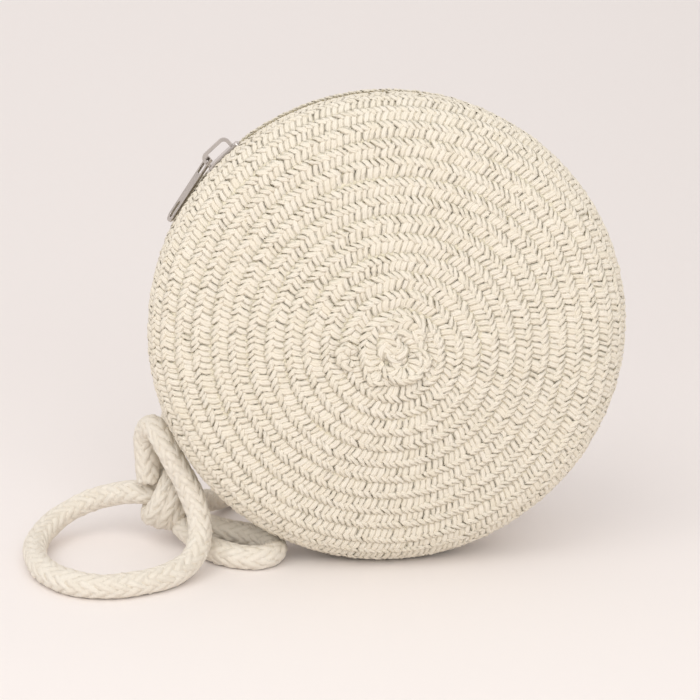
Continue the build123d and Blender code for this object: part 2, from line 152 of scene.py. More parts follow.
CROWN_END = (CROWN_R * sin_deg(FACE_SLOPE), HALF_DEPTH - CROWN_R * (1 - cos_deg(FACE_SLOPE)))
FACE_RUN = (FACE_R - CROWN_END[0]) / cos_deg(FACE_SLOPE)
FACE_END_Y = CROWN_END[1] - FACE_RUN * sin_deg(FACE_SLOPE)
SHOULDER_R = (FACE_END_Y - RIM_HALF - FLANK_RUN) / (cos_deg(FACE_SLOPE) - cos_deg(FLANK_SLOPE))
SHOULDER_X = FACE_R - SHOULDER_R * sin_deg(FACE_SLOPE)
SHOULDER_Y = FACE_END_Y - SHOULDER_R * cos_deg(FACE_SLOPE)
FLANK_X = SHOULDER_X + SHOULDER_R * sin_deg(FLANK_SLOPE)
FLANK_Y = SHOULDER_Y + SHOULDER_R * cos_deg(FLANK_SLOPE)
RIM_R = FLANK_X + (FLANK_Y - RIM_HALF) / math.tan(math.radians(FLANK_SLOPE))
AXIS_HEIGHT = RIM_R - SAG
BAND_R = RIM_R - BAND_RECESS
ROLL_R = WALL / 2        # the rim of each half is rolled over by the last strands

CROWN_S = CROWN_R * math.radians(FACE_SLOPE)
FACE_S = CROWN_S + FACE_RUN
SHOULDER_S = FACE_S + SHOULDER_R * math.radians(FLANK_SLOPE - FACE_SLOPE)
ROLL_START_Y = RIM_HALF + ROLL_R * (1 + cos_deg(FLANK_SLOPE))
FLANK_S = SHOULDER_S + (FLANK_Y - ROLL_START_Y) / sin_deg(FLANK_SLOPE)


def wall_point(s, rise):
    """Point of the dished half, in (radius, reach from the mid-plane).

    s is the way along the surface from the middle of the face. Up to CROWN_S it is an arc of
    radius CROWN_R, then a straight cone, then an arc of SHOULDER_R, a straight flank, and last
    the half round of ROLL_R over the rim. rise moves the point out along the surface normal.
    """
    s = np.asarray(s, float)
    rise = np.broadcast_to(np.asarray(rise, float), s.shape)
    slope = np.full(s.shape, FACE_SLOPE)
    base_r = CROWN_END[0] + (s - CROWN_S) * cos_deg(FACE_SLOPE)
    base_y = CROWN_END[1] - (s - CROWN_S) * sin_deg(FACE_SLOPE)

    crown = s < CROWN_S
    slope = np.where(crown, np.degrees(s / CROWN_R), slope)
    base_r = np.where(crown, CROWN_R * sin_deg(slope), base_r)
    base_y = np.where(crown, HALF_DEPTH - CROWN_R * (1 - cos_deg(slope)), base_y)

    shoulder = s > FACE_S
    turned = FACE_SLOPE + np.degrees((np.minimum(s, SHOULDER_S) - FACE_S) / SHOULDER_R)
    slope = np.where(shoulder, turned, slope)
    base_r = np.where(shoulder, SHOULDER_X + SHOULDER_R * sin_deg(slope), base_r)
    base_y = np.where(shoulder, SHOULDER_Y + SHOULDER_R * cos_deg(slope), base_y)

    straight = np.clip(s - SHOULDER_S, 0, FLANK_S - SHOULDER_S)
    base_r = base_r + straight * cos_deg(FLANK_SLOPE)
    base_y = base_y - straight * sin_deg(FLANK_SLOPE)

    rolled = np.degrees(np.maximum(s - FLANK_S, 0) / ROLL_R)
    slope_rolled = slope + rolled
    base_r = base_r + ROLL_R * (sin_deg(slope_rolled) - sin_deg(slope))
    base_y = base_y + ROLL_R * (cos_deg(slope_rolled) - cos_deg(slope))
    return base_r + rise * sin_deg(slope_rolled), base_y + rise * cos_deg(slope_rolled)


def round_axis(radius, reach, angle):
    """Point at a radius from the bag's axis and a reach along it, angle clockwise from the top."""
    radius, reach, angle = np.broadcast_arrays(radius, reach, angle)
    return np.stack(
        [radius * sin_deg(angle), reach, AXIS_HEIGHT + radius * cos_deg(angle)], axis=-1
    )


def grid_quads(rows, columns, wrap_rows=False, wrap_columns=False):
    """Quads of a grid of rows x columns points, joined round on itself where it wraps."""
    row = np.arange(rows if wrap_rows else rows - 1)[:, None]
    column = np.arange(columns if wrap_columns else columns - 1)[None, :]
    next_row, next_column = (row + 1) % rows, (column + 1) % columns
    corners = [
        row * columns + column,
        row * columns + next_column,
        next_row * columns + next_column,
        next_row * columns + column,
    ]
    return np.stack(corners, axis=-1).reshape(-1, 4)


def repeat_quads(quads, points_each, copies):
    """The same quads for each of many copies that follow one another in the point list."""
    copied = quads[None] + np.arange(copies)[:, None, None] * points_each
    return copied.reshape(-1, quads.shape[1])


def closed_tubes(rows, sides, copies=1):
    """Faces of many tubes of rings of points, one after another, each closed at both ends."""
    skin = repeat_quads(grid_quads(rows, sides, wrap_columns=True), rows * sides, copies)
    ring = np.arange(sides)
    ends = np.stack([ring[::-1], ring + (rows - 1) * sides])
    return skin.tolist() + repeat_quads(ends, rows * sides, copies).tolist()


def rings_round(line, first, second, first_reach, second_reach, sides):
    """A ring of points round each point of a line: an ellipse in the plane of two directions,
    with a reach along each."""
    turn = np.linspace(0, 360, sides, endpoint=False)
    wide, tall = first_reach * cos_deg(turn), second_reach * sin_deg(turn)
    return line[:, None] + first[:, None] * wide[..., None] + second[:, None] * tall[..., None]


def new_object(name, data):
    """An object at the origin that shows a mesh, curve, lamp or camera."""
    made = bpy.data.objects.new(name, data)
    bpy.context.scene.collection.objects.link(made)
    return made


def put_mesh(name, points, faces, material, uv=None, values=None, smooth=None, weld=False):
    """Write a mesh object from points in millimetres, with a uv and named values per point.
    smooth says for each face whether it is shaded round; otherwise all are. weld merges doubles,
    as at a pole, and turns the faces of a closed mesh outward."""
    mesh = bpy.data.meshes.new(name)
    mesh.from_pydata((points.reshape(-1, 3) * MM).tolist(), [], [list(map(int, f)) for f in faces])
    corner_point = np.zeros(len(mesh.loops), np.int32)
    mesh.loops.foreach_get("vertex_index", corner_point)
    if uv is not None:
        layer = mesh.uv_layers.new(name="strand")
        layer.data.foreach_set("uv", uv.reshape(-1, 2)[corner_point].astype(np.float32).ravel())
    for label, value in (values or {}).items():
        attribute = mesh.attributes.new(label, "FLOAT", "POINT")
        attribute.data.foreach_set("value", np.asarray(value, np.float32).ravel())
    smooth = np.ones(len(mesh.polygons), bool) if smooth is None else smooth
    mesh.polygons.foreach_set("use_smooth", smooth)
    mesh.materials.append(material)
    piece = new_object(name, mesh)
    if weld:
        work = bmesh.new()
        work.from_mesh(mesh)
        bmesh.ops.remove_doubles(work, verts=work.verts, dist=1e-6)
        bare = [edge for edge in work.edges if not edge.link_faces]
        bmesh.ops.delete(work, geom=bare, context="EDGES")
        bmesh.ops.recalc_face_normals(work, faces=work.faces)
        if work.calc_volume(signed=True) < 0:
            bmesh.ops.reverse_faces(work, faces=work.faces)
        work.to_mesh(mesh)
        work.free()
    return piece


def belongs(piece, slot, *nodes, body="bag"):
    """A piece rides on a body and stands for CAD nodes, which it hides. slot is not used."""
    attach(piece, body)
    if nodes:
        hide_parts(*nodes)


def cloth(piece, slot, cad_node, size, held, under, **area):
    """A piece of cloth that rides on the bag and stands for a CAD node, which it hides. The width
    and length in millimetres that it is cut to, and the piece that it lies on, are not used.
    """
    belongs(piece, slot, cad_node)


# ---- materials ----
def new_material(name):
    """A new node material and its shader."""
    material = bpy.data.materials.new(name)
    material.use_nodes = True
    return material, material.node_tree.nodes["Principled BSDF"]


def fill(material, made, inputs):
    """Fill a node's inputs with numbers or with other nodes' outputs."""
    for socket, value in inputs.items():
        if isinstance(value, bpy.types.NodeSocket):
            material.node_tree.links.new(value, made.inputs[socket])
        else:
            made.inputs[socket].default_value = value


def node(material, kind, inputs=None, **settings):
    """Add a node, set its fields and fill its inputs."""
    made = material.node_tree.nodes.new(kind)
    for field, value in settings.items():
        setattr(made, field, value)
    fill(material, made, inputs or {})
    return made


def object_place(material):
    """Object coordinates."""
    return node(material, "ShaderNodeTexCoord").outputs["Object"]


def noise(material, place, scale, detail, roughness=0.5):
    """One noise texture's output."""
    inputs = {"Vector": place, "Scale": scale, "Detail": detail, "Roughness": roughness}
    return node(material, "ShaderNodeTexNoise", inputs).outputs[0]


def maths(material, operation, first, second=0.0, third=0.0):
    """One Math node's output."""
    made = node(material, "ShaderNodeMath", {0: first, 1: second, 2: third}, operation=operation)
    return made.outputs[0]


def mix_colour(material, share, first, second):
    """Colour between first and second; inputs may be colours or sockets."""
    inputs = {0: share, 6: first, 7: second}
    return node(material, "ShaderNodeMix", inputs, data_type="RGBA").outputs[2]


def rgba(red, green, blue):
    return (red, green, blue, 1.0)


def bump(material, shader, height, distance, strength=1.0):
    """Wire a height into the shader's normal; distance is in millimetres."""
    inputs = {"Height": height, "Distance": distance * MM, "Strength": strength}
    fill(material, shader, {"Normal": node(material, "ShaderNodeBump", inputs).outputs[0]})


def yarn_material(name, light, dark, shade, yarns, fibre_scale, relief, sheen):
    """Cotton or straw strands: yarns side by side along each strand, fine fibres, a tint of its own
    for each strand, and painted shade down in the crevices. u runs along a strand in millimetres
    and v across it from 0 to 1; "tint" and "crest" are values from 0 to 1 on the mesh, and a low
    crest gets the painted shade colour."""
    material, shader = new_material(name)
    uv = node(material, "ShaderNodeUVMap", uv_map="strand").outputs[0]
    split = node(material, "ShaderNodeSeparateXYZ", {0: uv})
    ridge = maths(material, "MULTIPLY", split.outputs[1], yarns * math.pi)
    ridge = maths(material, "ABSOLUTE", maths(material, "COSINE", ridge))
    tint = node(material, "ShaderNodeAttribute", attribute_name="tint").outputs["Fac"]
    crest = node(material, "ShaderNodeAttribute", attribute_name="crest").outputs["Fac"]
    along = maths(material, "MULTIPLY_ADD", split.outputs[0], 0.35, tint)
    across = maths(material, "MULTIPLY", split.outputs[1], fibre_scale)
    apart = maths(material, "MULTIPLY", tint, 37.0)
    place = node(material, "ShaderNodeCombineXYZ", {0: along, 1: across, 2: apart}).outputs[0]
    fibre = noise(material, place, scale=2.6, detail=5.0, roughness=0.65)
    tone = mix_colour(material, tint, light, dark)
    tone = mix_colour(material, maths(material, "MULTIPLY", fibre, 0.45), tone, dark)
    # painted shade: the lower a point's crest value, the more the shade colour stands in for shadow
    # in the crevices
    fade = {"Value": crest, "From Min": 0.0, "From Max": 0.75, "To Min": 1.0, "To Max": 0.0}
    depth = node(material, "ShaderNodeMapRange", fade, interpolation_type="SMOOTHSTEP").outputs[0]
    crinkle = noise(material, object_place(material), scale=620.0, detail=4.0, roughness=0.6)
    height = maths(material, "MULTIPLY_ADD", fibre, 0.7, ridge)
    height = maths(material, "MULTIPLY_ADD", crinkle, 3.6, height)
    bump(material, shader, height, relief)
    fill(material, shader, {
        "Base Color": mix_colour(material, depth, tone, shade),
        "Roughness": 0.82,
        "Specular IOR Level": 0.3,
        "Sheen Weight": sheen,
        "Sheen Roughness": 0.5,
    })
    return material


def cloth_material(name, light, dark, thread):
    """Plain weave: two sine waves at right angles on Object coordinates, with a slubby noise."""
    material, shader = new_material(name)
    place = object_place(material)
    split = node(material, "ShaderNodeSeparateXYZ", {0: place})
    turns = 2 * math.pi / (thread * MM)
    warp = maths(material, "SINE", maths(material, "MULTIPLY", split.outputs[0], turns))
    weft = maths(material, "SINE", maths(material, "MULTIPLY", split.outputs[2], turns))
    weave = maths(material, "MULTIPLY", warp, weft)
    slub = noise(material, place, scale=900.0, detail=3.0)
    tone = mix_colour(material, maths(material, "MULTIPLY_ADD", weave, 0.2, slub), light, dark)
    bump(material, shader, maths(material, "ADD", weave, slub), 0.08)
    fill(material, shader, {"Base Color": tone, "Roughness": 0.9, "Specular IOR Level": 0.2})
    return material


def nickel_material():
    """Polished nickel with faint brushing and small scuffs in its gloss."""
    material, shader = new_material("nickel")
    place = object_place(material)
    stretch = {"Vector": place, "Scale": (260.0, 3000.0, 260.0)}
    stretched = node(material, "ShaderNodeMapping", stretch).outputs[0]
    worn = noise(material, place, scale=420.0, detail=6.0)
    brushed = noise(material, stretched, scale=1.0, detail=4.0)
    tone = mix_colour(material, worn, rgba(0.46, 0.435, 0.41), rgba(0.66, 0.62, 0.585))
    gloss = maths(material, "MULTIPLY_ADD", worn, 0.22, 0.12)
    bump(material, shader, brushed, 0.03, strength=0.5)
    fill(material, shader, {"Base Color": tone, "Roughness": gloss, "Metallic": 1.0})
    return material


def nylon_material():
    """Cream nylon filament of the zip: satin and faintly mottled."""
    material, shader = new_material("zip_nylon")
    mottle = noise(material, object_place(material), scale=1500.0, detail=2.0)
    tone = mix_colour(material, mottle, rgba(0.90, 0.86, 0.75), rgba(0.84, 0.79, 0.67))
    bump(material, shader, mottle, 0.02)
    fill(material, shader, {"Base Color": tone, "Roughness": 0.38})
    return material


STRAW = yarn_material(
    "straw_plait",
    light=rgba(0.925, 0.86, 0.745),
    dark=rgba(0.875, 0.80, 0.66),
    # painted shade for the crevices between the straw strands
    shade=rgba(0.89, 0.82, 0.66),
    yarns=YARNS,
    fibre_scale=9.0,
    relief=0.12,
    sheen=0.05,
)
COTTON = yarn_material(
    "cotton_rope",
    light=rgba(0.92, 0.86, 0.76),
    dark=rgba(0.87, 0.80, 0.69),
    # painted shade for the hollows of the braid and its core
    shade=rgba(0.70, 0.59, 0.43),
    yarns=2,
    fibre_scale=12.0,
    relief=0.18,
    sheen=0.15,
)
# the bed's cloth is the straw's dark tone, a little darker still and yellower: painted shade where
# it shows in the gaps between strands
BED_CLOTH = cloth_material("plait_bed", rgba(0.88, 0.82, 0.67), rgba(0.82, 0.75, 0.57), 1.6)
LINING_CLOTH = cloth_material("lining_cotton", rgba(0.80, 0.76, 0.68), rgba(0.70, 0.65, 0.56), 0.7)
TAPE_CLOTH = cloth_material("zip_tape", rgba(0.90, 0.86, 0.76), rgba(0.83, 0.78, 0.67), 0.5)
NICKEL = nickel_material()
NYLON = nylon_material()

# ---- camera ----
CAMERA_AT = (-60.7, -536.8, 225.5)
CAMERA_AIM = (-17.55, -35.58, 93.74)
CAMERA_LENS = 73.58

camera_data = bpy.data.cameras.new("camera")
camera_data.lens = CAMERA_LENS
camera_data.sensor_width = 36.0
camera_data.clip_start = 0.01
camera = new_object("camera", camera_data)
camera.location = Vector(CAMERA_AT) * MM
view_way = Vector(CAMERA_AIM) - Vector(CAMERA_AT)
camera.rotation_euler = view_way.to_track_quat("-Z", "Y").to_euler()
bpy.context.scene.camera = camera


# ---- rope ----
def along_ring(angle):
    """Direction clockwise round the bag's axis at an angle."""
    return np.stack([cos_deg(angle), 0.0 * angle, -sin_deg(angle)], axis=-1)


def spline_points(name, route):
    """Points on the smooth line of a route: a NURBS spline with the route as control points."""
    curve = bpy.data.curves.new(name, "CURVE")
    curve.dimensions = "3D"
    spline = curve.splines.new("NURBS")
    spline.points.add(len(route) - 1)
    for point, place in zip(spline.points, route):
        point.co = (*(Vector(place) * MM), 1.0)
    spline.order_u = 3
    spline.use_endpoint_u = True
    spline.resolution_u = 16
    holder = new_object(name, curve)
    graph = bpy.context.evaluated_depsgraph_get()
    line = bpy.data.meshes.new_from_object(holder.evaluated_get(graph))
    points = np.zeros(len(line.vertices) * 3)
    line.vertices.foreach_get("co", points)
    bpy.data.objects.remove(holder)
    bpy.data.meshes.remove(line)
    return points.reshape(-1, 3) / MM


def even_steps(points, step):
    """The same line with points an even step apart; also gives its length."""
    reach = np.concatenate([[0], np.cumsum(np.linalg.norm(np.diff(points, axis=0), axis=1))])
    keep = np.concatenate([[True], np.diff(reach) > 1e-6])
    reach, points = reach[keep], points[keep]
    count = max(int(round(reach[-1] / step)), 2)
    ways = np.linspace(0, reach[-1], count + 1)
    even = np.stack([np.interp(ways, reach, points[:, axis]) for axis in range(3)], axis=1)
    return even, reach[-1]


def carried_frame(points):
    """Two directions across a line at each point, carried along it without twisting, and the
    direction ahead."""
    ahead = unit(np.gradient(points, axis=0))
    across = np.zeros_like(points)
    start = np.array([0.0, 0.0, 1.0]) if abs(ahead[0, 2]) < 0.9 else np.array([0.0, 1.0, 0.0])
    last = start - ahead[0] * (start @ ahead[0])
    for place in range(len(points)):
        last = unit(last - ahead[place] * (last @ ahead[place]))
        across[place] = last
    return across, np.cross(ahead, across), ahead


ROPE_STEP = 1.4          # from one ring of points to the next along a strand
ROPE_LAY = 42.0          # length in which a strand goes once round the rope
ROPE_STRANDS = 8         # strands each way round
ROPE_SIDES = 6           # points round a strand
ROPE_SET = 0.425         # middle of a strand from the middle of the rope, over the diameter
ROPE_WEAVE = 0.025       # how far a strand rises and dips, over the diameter
ROPE_FLAT = (0.190, 0.092)  # half width and half thickness of a strand, over the diameter
ROPE_UNEVEN = (0.07, 0.10)  # random share by which each of these differs along a strand
ROPE_CORE = 0.40         # radius of the core that fills the braid, over the diameter
FUZZ_EACH_MM = 4.0       # loose fibres for each millimetre of rope
FUZZ_REACH = 1.1         # furthest that a fibre stands off the braid
FUZZ_HALF = 0.045        # from the middle of a fibre to its corners
FUZZ_ROWS = 3


def loose_fibres(even, side, up, ahead, length, diameter, rng):
    """Short fibres that stand off the rope: each a thin three-sided spine from the braid's surface
    out to FUZZ_REACH at most, drifting along the rope while its height grows as a square root."""
    count = int(length * FUZZ_EACH_MM)
    place = rng.integers(0, len(even), count)
    angle = rng.uniform(0, 360, count)[:, None]
    out = cos_deg(angle) * side[place] + sin_deg(angle) * up[place]
    width_way = np.cross(out, ahead[place])
    run = np.linspace(0, 1, FUZZ_ROWS)[None, :, None]
    reach = rng.uniform(0.2, FUZZ_REACH, (count, 1, 1)) * np.sqrt(run)
    drift = rng.normal(0, 0.9, (count, 1, 1)) * run
    bent = rng.normal(0, 0.5, (count, 1, 1)) * run ** 2
    middle = even[place][:, None] + out[:, None] * (diameter * ROPE_SET + reach)
    middle = middle + ahead[place][:, None] * drift + width_way[:, None] * bent
    corner = np.array([90, 210, 330])[:, None]
    section = ahead[place][:, None] * cos_deg(corner) + width_way[:, None] * sin_deg(corner)
    return middle[:, :, None, :] + FUZZ_HALF * section[:, None]


def braided_rope(name, points, diameter, seed):
    """Round braid: half the strands wind one way and half the other round the line.

    A strand's middle lies at an angle that grows evenly along the line. Crossings come 2 x
    ROPE_STRANDS to a turn, and its radius follows a cosine four crossings long, so that it goes
    over two strands and under two, each strand one step after its neighbour. Its section is an
    ellipse, flat against the rope. A plain round core fills the middle, and the whole braid
    swells and shrinks a little along its length.
    """
    rng = np.random.default_rng(SEED + seed)
    even, length = even_steps(points, ROPE_STEP)
    side, up, ahead = carried_frame(even)
    way = np.linspace(0, length, len(even))
    turned = way / ROPE_LAY
    wander = 1 + 0.035 * np.sin(way / 7.0 + rng.uniform(0, 6)) + 0.02 * np.sin(way / 3.1)
    sides = np.linspace(0, 360, ROPE_SIDES, endpoint=False)
    full = (len(even), ROPE_SIDES)
    core_r = np.full((len(even), 1), diameter * ROPE_CORE)
    rings = [rings_round(even, side, up, core_r, core_r, ROPE_SIDES)]
    # the core has crest 0, so it is coloured wholly in the painted shade tone
    tints, crests = [np.full(full, 0.5)], [np.zeros(full)]
    for direction in (1, -1):
        for strand in range(ROPE_STRANDS):
            angle = 360 * (direction * turned + strand / ROPE_STRANDS)
            phase = 2 * ROPE_STRANDS * turned + direction * 2 * strand - direction / 2
            over = direction * cos_deg(90 * phase)
            middle_r = diameter * (ROPE_SET + ROPE_WEAVE * over) * wander
            out = cos_deg(angle)[:, None] * side + sin_deg(angle)[:, None] * up
            middle = even + out * middle_r[:, None]
            width_way = unit(np.cross(out, unit(np.gradient(middle, axis=0))))
            half_width, half_thick = (
                diameter * flat * (1 + uneven * rng.standard_normal((len(even), 1)))
                for flat, uneven in zip(ROPE_FLAT, ROPE_UNEVEN)
            )
            rings.append(rings_round(middle, width_way, out, half_width, half_thick, ROPE_SIDES))
            pick = np.floor(phase / 4 + 0.5).astype(int)
            tint = rng.uniform(0, 1, pick.max() - pick.min() + 1)[pick - pick.min()]
            tints.append(np.broadcast_to(tint[:, None], full))
            # painted shade: a strand where it passes under others, and its side towards the core,
            # get more of the shade colour
            crests.append(np.clip(0.45 + 0.3 * over[:, None] + 0.35 * sin_deg(sides), 0, 1))
    across = np.broadcast_to(np.abs(1 - sides / 180), full)
    uv = np.stack([np.broadcast_to(way[:, None], full), across], axis=-1).reshape(-1, 2)
    fibres = loose_fibres(even, side, up, ahead, length, diameter, rng).reshape(-1, 3)
    braid = np.concatenate(rings).reshape(-1, 3)
    faces = closed_tubes(len(even), ROPE_SIDES, len(rings))
    for face in closed_tubes(FUZZ_ROWS, 3, len(fibres) // (3 * FUZZ_ROWS)):
        faces.append([len(braid) + place for place in face])
    points = np.concatenate([braid, fibres])
    points[:, 2] = np.maximum(points[:, 2], ROPE_CLEAR)
    uv = np.concatenate([np.tile(uv, (len(rings), 1)), np.full((len(fibres), 2), 0.5)])
    values = {
        "tint": np.concatenate([np.concatenate(tints).ravel(), np.full(len(fibres), 0.2)]),
        "crest": np.concatenate([np.concatenate(crests).ravel(), np.ones(len(fibres))]),
    }
    return put_mesh(name, points, faces, COTTON, uv=uv, values=values), even, length


ANCHOR_R = SHOULDER_X + (SHOULDER_R + SEAM + ROPE_D / 2) * sin_deg(ANCHOR_SLOPE)
ANCHOR_Y = SHOULDER_Y + (SHOULDER_R + SEAM + ROPE_D / 2) * cos_deg(ANCHOR_SLOPE)
left_exit = round_axis(ANCHOR_R, ANCHOR_Y, -ANCHOR_ANGLE)
right_exit = round_axis(ANCHOR_R, ANCHOR_Y, ANCHOR_ANGLE)
left_lead = left_exit - along_ring(-ANCHOR_ANGLE) * EXIT_RUN
right_lead = right_exit + along_ring(ANCHOR_ANGLE) * EXIT_RUN

coil_points = []
turn_end_x = -COIL_OUTER_R
for half_turn in range(COIL_HALF_TURNS):
    turn_r = COIL_OUTER_R - half_turn * COIL_STEP / 2
    heading_x = 1 if half_turn % 2 == 0 else -1
    for step in range(COIL_POINTS):
        angle = 180 * step / COIL_POINTS
        coil_points.append((
            turn_end_x + heading_x * turn_r * (1 - cos_deg(angle)),
            COIL_Y + heading_x * turn_r * sin_deg(angle),
            ROPE_FLOOR,
        ))
    turn_end_x += 2 * heading_x * turn_r
coil_end = (turn_end_x, COIL_Y, ROPE_FLOOR)

LEFT_RUN = [
    left_exit,
    left_lead,
    (-83.5, 27, 56.5),
    (-87.5, 26, 43),
    (-88.5, 21, 28.5),
    (-88.5, 18, 19),
]
BIG_LOOP = [
    (-95, 13.5, 28),
    (-95.5, 14.5, 38),
    (-96, 15.5, 47.8),
    (-92, 7.8, 54.2),
    (-87.8, 0, 49),
    (-83.2, -1, 40),
    (-78.2, -2, 30),
    (-74.5, -6, 20.5),
    (-74, -12.5, 12),
    (-77.5, -20.5, 6.5),
    (-86, -29, ROPE_FLOOR),
    (-98, -35, ROPE_FLOOR),
    (-111, -37, ROPE_FLOOR),
    (-124, -31, ROPE_FLOOR),
    (-134, -19.5, ROPE_FLOOR),
    (-139.5, -5, ROPE_FLOOR),
    (-140.5, 10, 5.2),
    (-134.5, 23, 9),
    (-122.5, 28, 14.5),
    (-109.5, 25, 19),
    (-97.5, 18.5, 22),
    (-89.5, 17.5, 20),
]
SMALL_LOOP = [
    (-82, 11, 9.5),
    (-75, 1, 5.4),
    (-64.5, -9.5, ROPE_FLOOR),
    (-53, -14.5, ROPE_FLOOR),
    (-44.5, -10, ROPE_FLOOR),
    (-44.5, 0.5, 5),
    (-54, 5.5, 6.6),
    (-66, 8, 8),
    (-75, 12.5, 10),
    (-81.5, 17.5, 12),
]
BACK_RUN = [
    (-84.5, 24, 16.5),
    (-77, 35, 11),
    (-69, 46.5, 6.5),
    (-60.5, 59, ROPE_FLOOR),
    (-54, 71, ROPE_FLOOR),
    (-COIL_OUTER_R, 84, ROPE_FLOOR),
]
RIGHT_RUN = [
    coil_end,
    (coil_end[0], COIL_Y - ROPE_D, ROPE_FLOOR),
    (38, 76.5, 8),
    (35.5, 66.5, 14.5),
    (38.5, 55.5, 19),
    (47, 45, 23.5),
    (57.5, 36.5, 31.5),
    (68, 31, 44.5),
    (76.5, 27.5, 57),
    right_lead,
    right_exit,
]


KNOT_ROPE_D = 7.8        # pulled tight in the knot
KNOT_TURNS = 2.7
KNOT_FROM = 60.0         # where its first turn starts
KNOT_LONG, KNOT_R = 10.5, 8.4    # way along the knot's axis, and radius of its turns
KNOT_DIP = 22.0          # how far the knot's axis dips to the right
KNOT_TALL, KNOT_DEEP = 1.12, 0.92    # its turns are taller than they are deep


def knot_line():
    """Wrapping knot pulled tight: the rope goes round the bundle in slanting turns side by side,
    a helix whose radius shrinks at both ends, where the rope dives inside."""
    share = np.linspace(0, 1, 160)
    angle = 360 * KNOT_TURNS * share + KNOT_FROM
    radius = KNOT_R * (1 - np.abs(2 * share - 1) ** 7) ** 0.5 + 0.4
    lengthwise = np.array([cos_deg(KNOT_DIP), 0.0, -sin_deg(KNOT_DIP)])
    tall = np.array([sin_deg(KNOT_DIP), 0.0, cos_deg(KNOT_DIP)])
    deep = np.array([0.0, 1.0, 0.0])
    return (
        np.array(KNOT_CENTRE)
        + lengthwise * (KNOT_LONG * (share - 0.5))[:, None]
        + tall * (KNOT_TALL * radius * cos_deg(angle))[:, None]
        + deep * (KNOT_DEEP * radius * sin_deg(angle))[:, None]
    )


knot, _, _ = braided_rope("strap_knot_turns", knot_line(), KNOT_ROPE_D, seed=5)
belongs(knot, "strap_rope", "strap_knot")

for name, route, nodes, far_end, lay in (
    ("strap_left", LEFT_RUN, ("strap_left_run",), "knot", "hanging"),
    ("strap_loop", BIG_LOOP, ("strap_big_loop",), "knot", "loose"),
    ("strap_bight", SMALL_LOOP, ("strap_small_loop",), "knot", "loose"),
    (
        "strap_rest",
        BACK_RUN + coil_points + RIGHT_RUN,
        ("strap_back_run", "strap_coil", "strap_right_run"),
        "object",
        "coiled",
    ),
):
    line = spline_points(name + "_line", route)
    rope, path, rope_length = braided_rope(name, line, ROPE_D, seed=len(name))
    belongs(rope, "strap_rope", *nodes)


# ---- plait ----
STRAND_ROWS, STRAND_COLUMNS = 7, 4


def plait_strands(count, width, rng, tilt=PLAIT_TILT, edge_dive=EDGE_DIVE):
    """Strands of a flat plait in its own coordinates: way along, across, height.

    Each stitch has two strands. A rib starts at the inner edge almost square to the plait, bends
    forward, and swells up to a crest. A lap comes over the outer edge and runs forward at a low
    angle. They meet in a V whose point leads along the plait, two thirds of the way across, and
    each dives under the next. Across, a strand is a flat arch. Every strand differs a little in
    place, lead, width and height, and every point is moved a little more at random.
    """
    run = np.linspace(0, 1, STRAND_ROWS)[None, :, None]
    over = np.linspace(-1, 1, STRAND_COLUMNS)[None, None, :]
    rib = np.tile([True, False], count)[:, None, None]
    each, full = rib.shape, (2 * count, STRAND_ROWS, STRAND_COLUMNS)
    start = np.repeat(np.arange(count), 2)[:, None, None] * STITCH + np.where(rib, 0, STITCH / 2)
    start = start + rng.normal(0, START_JITTER, each)
    lead = np.where(rib, RIB_LEAD, LAP_LEAD) * (1 + rng.normal(0, LEAD_JITTER, each))
    first = np.where(rib, RIB_SPAN[0], LAP_SPAN[0])
    last = np.where(rib, RIB_SPAN[1], LAP_SPAN[1]) + rng.normal(0, TIP_JITTER, each)
    inward = 1 - (1 - run) ** 1.5
    along = start + lead * np.where(rib, 0.4 * run + 0.6 * run ** 3, run)
    across = width * (first + (last - first) * np.where(rib, run, inward))
    along_slope, across_slope = np.gradient(along, axis=1), np.gradient(across, axis=1)
    slope_length = np.hypot(along_slope, across_slope)
    rib_swell = 0.76 + 0.24 * np.sin(math.pi * run ** 0.8)
    lap_swell = 0.80 + 0.20 * np.sin(math.pi * run)
    half = np.where(rib, RIB_HALF * rib_swell, LAP_HALF * lap_swell)
    half = half * (1 + rng.normal(0, HALF_JITTER, each))
    point_along = along - over * half * across_slope / slope_length
    point_across = across + over * half * along_slope / slope_length

    climb = np.sin(math.pi / 2 * np.minimum(run / RIB_CREST_AT, 1))
    dive = np.clip((run - RIB_CREST_AT) / (1 - RIB_CREST_AT), 0, 1) ** 2
    rib_rise = RIB_START + RIB_CLIMB * climb - RIB_DIVE * dive
    lap_rise = -edge_dive + (edge_dive + LAP_CREST) * np.sin(0.92 * math.pi * run)
    arch = np.sqrt(1 - 0.97 * over ** 2)
    height = np.where(rib, rib_rise, lap_rise)
    height = height + np.where(rib, RIB_THICK, LAP_THICK) * (arch - 0.45)
    height = height + tilt * point_across / (width / 2) + rng.normal(0, HEIGHT_JITTER, each)
    # crest is low at the dives and at a strand's edges, where the straw material paints shade
    crest = np.where(rib, 0.15 + 0.85 * climb - 0.5 * dive, 0.25 + 0.75 * np.sin(math.pi * run))
    crest = np.clip(0.55 * crest + 0.75 * arch - 0.35, 0, 1)
    tint = np.clip(rng.normal(TINT_MEAN, TINT_JITTER, each), 0, 1)
    uv_along = run * np.where(rib, 6.0, 5.5) + start * 1.7
    return {
        "along": point_along + rng.normal(0, CRUMPLE, full),
        "across": point_across + rng.normal(0, CRUMPLE, full),
        "height": height + rng.normal(0, CRUMPLE, full),
        "uv": np.stack(np.broadcast_arrays(uv_along, (over + 1) / 2), axis=-1),
        "tint": np.broadcast_to(tint, full),
        "crest": np.broadcast_to(crest, full),
    }


